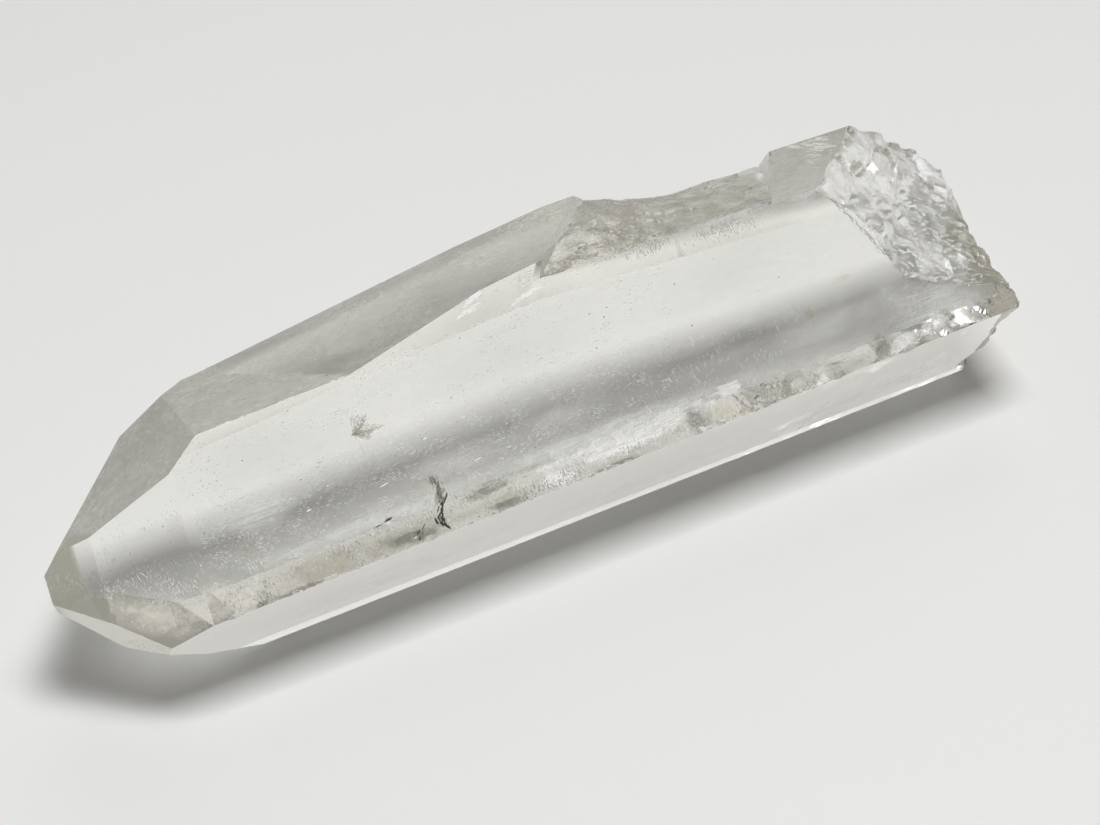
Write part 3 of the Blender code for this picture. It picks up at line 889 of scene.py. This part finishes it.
SHEETS = (
    # Painted light, partly haze: white patches along the lower band of the front face and at the root
    # stand for the lit floor seen through the crystal.
    ("front_haze_and_painted_light", HAZE_AND_PAINTED_LIGHT, front, 3, (
        (30.5, 13.6, 8.0, 3.8), (33.0, 12.0, 4.0, 3.0), (22.0, 11.6, 12.0, 1.4),
        (-2.0, 12.2, 26.0, 1.5), (-22.0, 12.0, 16.0, 1.4), (-31.5, 15.0, 6.0, 2.0),
        (14.5, 23.9, 9.5, 1.2), (21.5, 23.7, 4.5, 1.4))),
    # Painted light in the dark band.
    ("band_painted_light", FAINT_PAINTED_LIGHT, front, 31, (
        (-4.3, 14.7, 10.0, 2.2), (22.5, 14.6, 10.0, 2.4), (-14.0, 14.0, 8.0, 1.6))),
    # Painted shade in the dark band.
    ("band_painted_shade", FAINT_PAINTED_SHADE, front, 41, ((13.0, 15.4, 6.0, 1.6),)),
    ("front_mottle", FRONT_MOTTLE, front, 33, (
        (-28.0, 19.0, 15.0, 5.0), (-8.0, 20.0, 15.0, 5.0), (14.0, 20.0, 13.0, 4.5))),
    ("tip_haze", TIP_HAZE, tip_front, 21, (
        (-40.6, 9.8, 6.0, 2.6, -12), (-37.6, 9.9, 1.8, 1.4))),
    ("low_tip_haze", TIP_HAZE, low_tip, 37, ((-40.6, 6.7, 3.0, 1.8),)),
    ("strip_haze", TIP_HAZE, front, 22, (
        (-34.5, 10.0, 5.0, 1.6), (-36.9, 10.8, 3.4, 2.0), (-35.9, 9.7, 2.2, 1.2))),
    ("knob_film", KNOB_BEIGE, front, 23, ((37.6, 11.6, 2.6, 3.2),)),
    ("strip_bruises", BRUISE, front, 5, (
        (2.0, 11.5, 9.5, 1.5, 2), (27.4, 11.0, 2.2, 1.3, 8), (30.6, 11.6, 2.0, 1.1, 5),
        (19.4, 10.5, 0.8, 0.6, 30), (-8.7, 24.4, 1.3, 0.35, 30), (-9.3, 23.6, 1.4, 0.35, 10),
        (-4.3, 23.3, 2.2, 0.25, 14), (10.8, 12.2, 1.8, 0.7), (-5.8, 10.4, 2.4, 0.9, 4))),
    ("strip_film", STRIP_OLIVE, front, 6, (
        (-26.6, 9.9, 8.0, 2.4), (-19.0, 10.2, 6.0, 1.6), (-11.5, 10.2, 4.0, 0.9))),
    ("low_mottle", LOW_MOTTLE, low, 25, (
        (-20.0, 4.6, 15.0, 3.6), (4.0, 3.6, 15.0, 3.4), (24.0, 3.6, 12.0, 4.2))),
    # Painted light: a white streak on the lower face stands for the bright caustic line that the
    # crystal throws.
    ("painted_caustic_streak", HAZE_AND_PAINTED_LIGHT, low, 27, ((21.2, 3.3, 4.2, 0.6, 74), (31.0, 4.2, 5.0, 3.4))),
    ("iron_stains", STAIN, front, 7, (
        (9.8, 10.7, 1.3, 0.45, 20), (11.4, 10.3, 1.2, 0.3), (9.3, 11.1, 0.6, 0.4, 40))),
    ("faint_stains", FAINT_STAIN, front, 8, (
        (23.5, 17.0, 1.1, 0.5), (19.7, 15.3, 0.6, 1.2))),
    ("edge_grime", SMOKE, front, 13, (
        (7.4, 10.9, 1.5, 1.6), (11.6, 9.7, 1.8, 0.4, 4), (-0.5, 9.8, 3.0, 0.5, 2),
        (-12.0, 11.3, 3.4, 0.7), (-19.0, 10.0, 3.4, 0.9), (-30.0, 9.2, 4.0, 0.4),
        (-10.5, 9.9, 2.5, 0.6), (25.5, 11.3, 1.4, 1.3))),
)
for name, finish, plane, seed, patches in SHEETS:
    sheet_piece(name, finish, plane, patches, seed)

# %% [markdown]
# The ledge is matt, with fine streaks along the axis and beige crumbs at its front, and the break
# at the root has bright crushed slivers. These flecks lie on the faces of the relief itself, so
# they follow every bump.

# %% Flecks on the broken surfaces
FLECK_FOOT, FLECK_LIFT, BROKEN_LEAN, LEAST_FACING = 1.0 * MM, 0.03, 0.35, 0.15
BROKEN_SPREAD, OUTWARD = (0.5, 1.4), Vector((0.3, -0.5, 0.8))


def on_broken(zone, spans, count, lengths, width, along, seed):
    """Flecks lying on broken faces of a zone that look outward, within spans along X and Y."""
    draw = random.Random(seed)
    mesh = mesh_of(crystal)
    layer = mesh.faces.layers.int["zone"]
    (start, end), (near, far) = spans

    def is_wanted(face):
        centre = face.calc_center_median()
        return (face[layer] == zone and face.normal.dot(OUTWARD) > LEAST_FACING
                and start * MM < centre.x < end * MM and near * MM < centre.y < far * MM
                and centre.z > FLECK_FOOT)

    faces = [face for face in mesh.faces if is_wanted(face)]
    specks = []
    for face in draw.choices(faces, weights=[face.calc_area() for face in faces], k=count):
        way = lean(along, BROKEN_LEAN, draw)
        way = (way - face.normal * face.normal.dot(way)).normalized()
        specks.append((face.calc_center_median() + face.normal * FLECK_LIFT * MM, way,
                       face.normal.copy(), draw.uniform(*lengths) * MM,
                       width * draw.uniform(*BROKEN_SPREAD) * MM))
    mesh.free()
    return specks


fleck_piece("ledge_streaks", ETCH_GREY,
            on_broken(LEDGE, ((-4, 20), (-4, 8)), 1800, (0.2, 0.8), 0.06, ALONG_AXIS, 71), 10)
fleck_piece("ledge_rubble", RUBBLE_BEIGE,
            on_broken(LEDGE, ((-5, 9), (-4, 1)), 420, (0.15, 0.6), 0.16, ALONG_AXIS, 73)
            + scatter(front, (-5, 9), (24.4, 0.25), 90, (0.15, 0.5), 0.12, ALONG_AXIS, 75), 11)
fleck_piece("break_crush", FLUID_WHITE,
            on_broken(BREAK, ((22, 46), (-12, 12)), 700, (0.3, 1.2), 0.22,
                      Vector((0.75, -0.2, -0.6)), 77)
            + on_broken(BREAK, ((29, 41), (-9, 1)), 260, (0.3, 1.1), 0.25,
                        Vector((0.4, 0.2, -0.8)), 79), 12)

# %% [markdown]
# A break is not flat, so a flat sheet would cut through it. Here a thin sheet is a copy of the
# skin's own faces, moved out by a hair, and its cover comes from slow noise. It gives the crushed
# white of the root, the brown film of its end, the crust and dirt of the ledge, and an even
# mottling on the level faces.

# %% Soft sheets that copy the skin
BOX_FADE, THICKNESS, THICKNESS_SPREAD, EVEN_COVER = 2.0 * MM, 0.45, 0.9, 0.45
SHEET_LIFT, EVEN_LIFT = 0.03, 0.016


def skin_sheet(name, finish, zone, box, patch, seed, facing=OUTWARD, least=0.0, even=None):
    """A thin soft sheet that copies the faces of a zone inside a box, given as spans along X, Y
    and Z. Its cover is either one even value, or in patches of a size and none at its rim."""
    mesh = mesh_of(crystal)
    layer = mesh.faces.layers.int["zone"]

    def is_covered(face):
        return (face[layer] == zone and face.normal.dot(facing) > least
                and all(low * MM < value < high * MM
                        for value, (low, high) in zip(face.calc_center_median(), box)))

    bmesh.ops.delete(mesh, geom=[face for face in mesh.faces if not is_covered(face)],
                     context="FACES")
    cover = mesh.verts.layers.float.new("cover")
    mesh.normal_update()
    for vert in mesh.verts:
        place = vert.co / (patch * MM) + Vector((seed, 0, 0))
        thick = THICKNESS + THICKNESS_SPREAD * noise.noise(place)
        inside = min(min(value - low * MM, high * MM - value)
                     for value, (low, high) in zip(vert.co, box))
        vert[cover] = even or (0.0 if vert.is_boundary else thick * min(1.0, inside / BOX_FADE))
    for vert in mesh.verts:
        vert.co += vert.normal * (EVEN_LIFT if even else SHEET_LIFT) * MM
    add_piece(name, mesh, finish)


skin_sheet("top_mottle", TOP_MOTTLE, FLAT, ((-50, 50), (-20, 20), (20, 27)), 1.0, 1,
           Vector((0, 0, 1)), LEVEL, EVEN_COVER)
skin_sheet("tip_mottle", TOP_MOTTLE, FLAT, ((-50, -30), (-20, 20), (0, 30)), 1.0, 1, tip_top[0],
           ALONG, EVEN_COVER)
CRUST = soft_finish("ledge_crust", (0.90, 0.82, 0.70), 1500.0, 0.4, 0.45, 0.85)
LEDGE_DIRT = soft_finish("ledge_dirt", (0.36, 0.34, 0.27), 1500.0, 0.4, 0.6, 0.32)
skin_sheet("ledge_crust", CRUST, LEDGE, ((-8, 25), (-9, 14), (18, 30)), 2.0, 11)
skin_sheet("ledge_dirt", LEDGE_DIRT, LEDGE, ((-8, 25), (-9, 14), (18, 30)), 1.5, 14)
CRUSH = soft_finish("crushed_white", (0.97, 0.965, 0.95), 700.0, 0.8, 0.9, 0.5)
BRIGHT_CRUSH = soft_finish("crushed_bright", (0.98, 0.97, 0.95), 700.0, 0.8, 0.5, 0.85)
skin_sheet("break_frost", CRUSH, BREAK, ((18, 40), (-9, 16), (11, 30)), 1.1, 3)
skin_sheet("break_glow", BRIGHT_CRUSH, BREAK, ((32, 44), (-9, 8), (11.5, 20)), 1.4, 8)
skin_sheet("root_knob", KNOB_BEIGE, BREAK, ((34.5, 52), (-16, 5), (-4, 13.8)), 2.0, 5)

# %% [markdown]
# The upper front edge is hardly chipped but has rows of tiny bright nicks. They are laid along
# the line where the two faces' planes meet.

# %% Nicks along the top front edge
NICK_CLUMP, NICK_CUT, NICK_LEAN = 1.4 * MM, 0.05, 0.25
NICK_DEPTH, NICK_LENGTH, NICK_WIDTH = (-0.01, 0.02), (0.2, 0.7), (0.06, 0.2)


def edge_nicks(first, second, span, count, seed):
    """Small bright nicks strung along the edge two faces share."""
    draw = random.Random(seed)
    facing = (first[0] + second[0]).normalized()
    along = first[0].cross(second[0]).normalized()
    specks = []
    for _ in range(count):
        x = draw.uniform(*span) * MM
        if noise.noise(Vector((x / NICK_CLUMP, seed, 0.0))) < NICK_CUT:
            continue
        place = meet(first, second, x) - facing * draw.uniform(*NICK_DEPTH) * MM
        specks.append((place, lean(along, NICK_LEAN, draw), facing,
                       draw.uniform(*NICK_LENGTH) * MM, draw.uniform(*NICK_WIDTH) * MM))
    return specks


fleck_piece("edge_nicks", FLUID_WHITE,
            edge_nicks(prism["front"], prism["top"], (-35, -4), 260, 83), 19)

# %% [markdown]
# Some marks can be told one by one: a beige fan, a dark upright crack with an olive haze above
# it, the dark rim of the break, and a few bright and dark dashes. Each is a chain of flecks along
# a short line, whose places are millimetres along the crystal and above the floor.

# %% Single marks
def at(x, z):
    """A place on the skin of the front face, in millimetres."""
    return on_face(front, x * MM, z * MM, MARK_SKIN)


def chain(points, count, lengths, width, scatter_by, seed):
    """Flecks strung along a line of places on the front face, as in a small crack."""
    draw = random.Random(seed)
    specks = []
    for number in range(count):
        spot = (len(points) - 1) * (number + draw.random()) / count
        start = min(int(spot), len(points) - 2)
        way = at(*points[start + 1]) - at(*points[start])
        place = at(*points[start]) + way * (spot - start)
        place += ALONG_AXIS * draw.gauss(0, scatter_by) * MM
        if is_on_skin(place):
            specks.append((place, lean(way.normalized(), BROKEN_LEAN, draw), front[0],
                           draw.uniform(*lengths) * MM, width * draw.uniform(*BROKEN_SPREAD) * MM))
    return specks


FAN_FOOT = (-21.5, 18.1)
FAN_RIM = [Vector(tip) for tip in ((-21.3, 19.5), (-20.2, 19.1), (-20.4, 18.6), (-18.8, 18.0),
                                   (-20.2, 17.8), (-20.3, 17.3))]
FAN_RAYS = 26
fan_specks = chain([FAN_FOOT, (-21.2, 17.2), (-21.1, 16.6)], 16, (0.1, 0.35), 0.06, 0.08, 60)
for ray in range(FAN_RAYS):
    part, share = divmod(ray / FAN_RAYS * (len(FAN_RIM) - 1), 1)
    end = FAN_RIM[int(part)].lerp(FAN_RIM[int(part) + 1], share)
    fan_specks += chain([FAN_FOOT, end], 13, (0.12, 0.45), 0.09, 0.09, 61 + ray)
fleck_piece("beige_fan", FAN_BEIGE, fan_specks, 9)
CRACK_TOP = [(-16.2, 13.5), (-15.9, 12.4), (-16.2, 11.6)]
CRACK_LOW = [(-15.6, 11.9), (-16.5, 10.6), (-16.1, 9.9)]
CRACK_FOOT = [(-17.9, 10.5), (-18.9, 9.6)]
fleck_piece("crack_haze", CRACK_OLIVE, chain(CRACK_TOP, 90, (0.2, 0.7), 0.11, 0.22, 51), 5)
fleck_piece("crack", CRACK_DARK, chain(CRACK_LOW, 34, (0.3, 1.0), 0.16, 0.16, 53)
            + chain(CRACK_TOP, 26, (0.2, 0.6), 0.09, 0.20, 55)
            + chain(CRACK_FOOT, 10, (0.2, 0.6), 0.10, 0.30, 57), 6)
BREAK_RIM = [(23.7, 23.4), (24.9, 21.9), (26.6, 19.6), (27.9, 17.7), (29.4, 16.2), (31.7, 15.2),
             (34.6, 14.0)]
CRUSH_PAST_RIM = 0.7
fleck_piece("break_rim", ETCH_GREY, chain(BREAK_RIM, 210, (0.3, 0.9), 0.09, 0.12, 59), 18)
fleck_piece("rim_crush", FLUID_WHITE,
            chain([(x + CRUSH_PAST_RIM, z) for x, z in BREAK_RIM], 260, (0.2, 0.7), 0.16, 0.28, 62),
            34)
DASH_WAY = Vector((0.985, 0.10, 0.10)).normalized()
DARK_DASHES = [(-20.6, 11.75, 1.2, 0.26), (-21.6, 11.55, 0.9, 0.14)]
WHITE_DASHES = [(x, z, length, 0.13) for x, z, length in (
    (-20.3, 14.1, 1.1), (-12.0, 13.6, 1.0), (-18.9, 9.9, 0.4),
    (-26.8, 14.2, 0.6), (-15.9, 16.2, 0.5), (-20.8, 11.52, 0.9))]
for name, finish, dashes, seed in (("dark_dashes", CRACK_DARK, DARK_DASHES, 7),
                                   ("white_dashes", BRUISE_WHITE, WHITE_DASHES, 8)):
    fleck_piece(name, finish, [(at(x, z), DASH_WAY, front[0], length * MM, width * MM)
                               for x, z, length, width in dashes], seed)
